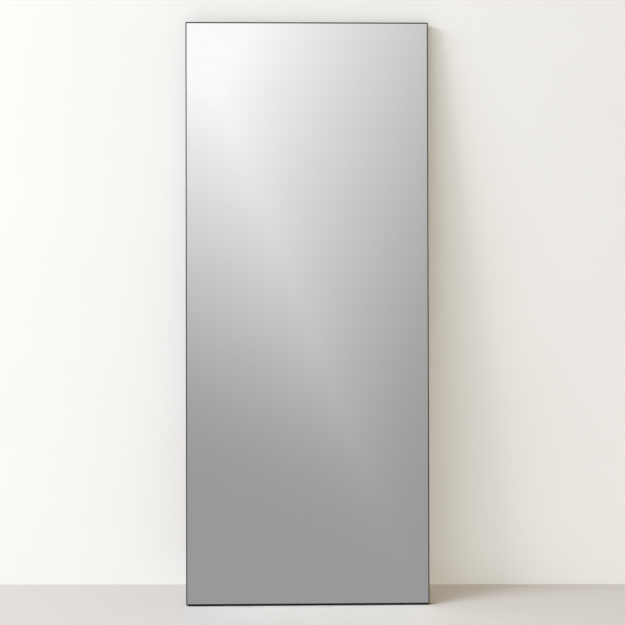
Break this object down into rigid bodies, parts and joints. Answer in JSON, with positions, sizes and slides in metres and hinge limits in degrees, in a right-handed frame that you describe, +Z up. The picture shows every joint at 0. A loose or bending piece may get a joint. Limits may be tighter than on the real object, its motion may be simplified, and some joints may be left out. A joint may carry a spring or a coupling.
{
  "type": "leaning floor mirror",
  "caption": "Tall rectangular full-length mirror in a thin black metal frame, leaning back from the floor against a wall, with swinging D-ring hangers behind.",
  "frame": {"origin": "on the floor, under the middle of the box round the leaning mirror", "axes": "+Z up, -Y towards the person who looks into it, +Y towards the wall, +X to their right; the mirror leans back 5 degrees, and the wall is the plane through the most rearward faces"},
  "size_m": [0.8, 0.1939, 1.9147],
  "materials": {
    "frame_black": "black powder coat on aluminium, satin",
    "zinc_plate": "zinc-plated pressed steel",
    "black_steel": "black powder coat on folded steel",
    "ring_steel": "nickel-plated steel wire",
    "screw_steel": "zinc-plated, cross recess",
    "mirror_silver": "silvered float glass, seamed edge",
    "film": "woven polythene film",
    "tape": "white foam tape",
    "board": "bare fibreboard, smooth face",
    "pad_rubber": "matt black rubber"
  },
  "bodies": {
    "frame_and_pane": {"rail_top": "frame_black", "rail_bottom": "frame_black", "stile_left": "frame_black", "stile_right": "frame_black", "corner_plate_top_left": "zinc_plate", "corner_plate_top_right": "zinc_plate", "corner_plate_bottom_left": "zinc_plate", "corner_plate_bottom_right": "zinc_plate", "hanger_strap_left": "zinc_plate", "hanger_strap_right": "zinc_plate", "centre_brace": "black_steel", "tether_bracket_left": "black_steel", "tether_bracket_right": "black_steel", "corner_screws": "screw_steel", "board_screws": "screw_steel", "brace_screws": "screw_steel", "hanger_screws": "screw_steel", "tether_screws": "screw_steel", "mirror_glass": "mirror_silver", "safety_film": "film", "bonding_tapes": "tape", "backing_board": "board", "setting_pads": "pad_rubber", "edge_spacers": "pad_rubber", "wall_pad_left": "pad_rubber", "wall_pad_right": "pad_rubber", "foot_strip": "pad_rubber"},
    "ring_left": {"hanger_ring_left": "ring_steel"},
    "ring_right": {"hanger_ring_right": "ring_steel"}
  },
  "joints": [
    {"name": "hanger_ring_left_swing", "type": "hinge", "parent": "frame_and_pane", "child": "ring_left", "pos_m": [-0.3815, 0.05347, 1.5307], "axis": [1, 0, 0], "range_deg": [-4, 175]},
    {"name": "hanger_ring_right_swing", "type": "hinge", "parent": "frame_and_pane", "child": "ring_right", "pos_m": [0.3815, 0.05347, 1.5307], "axis": [1, 0, 0], "range_deg": [-4, 175]}
  ]
}
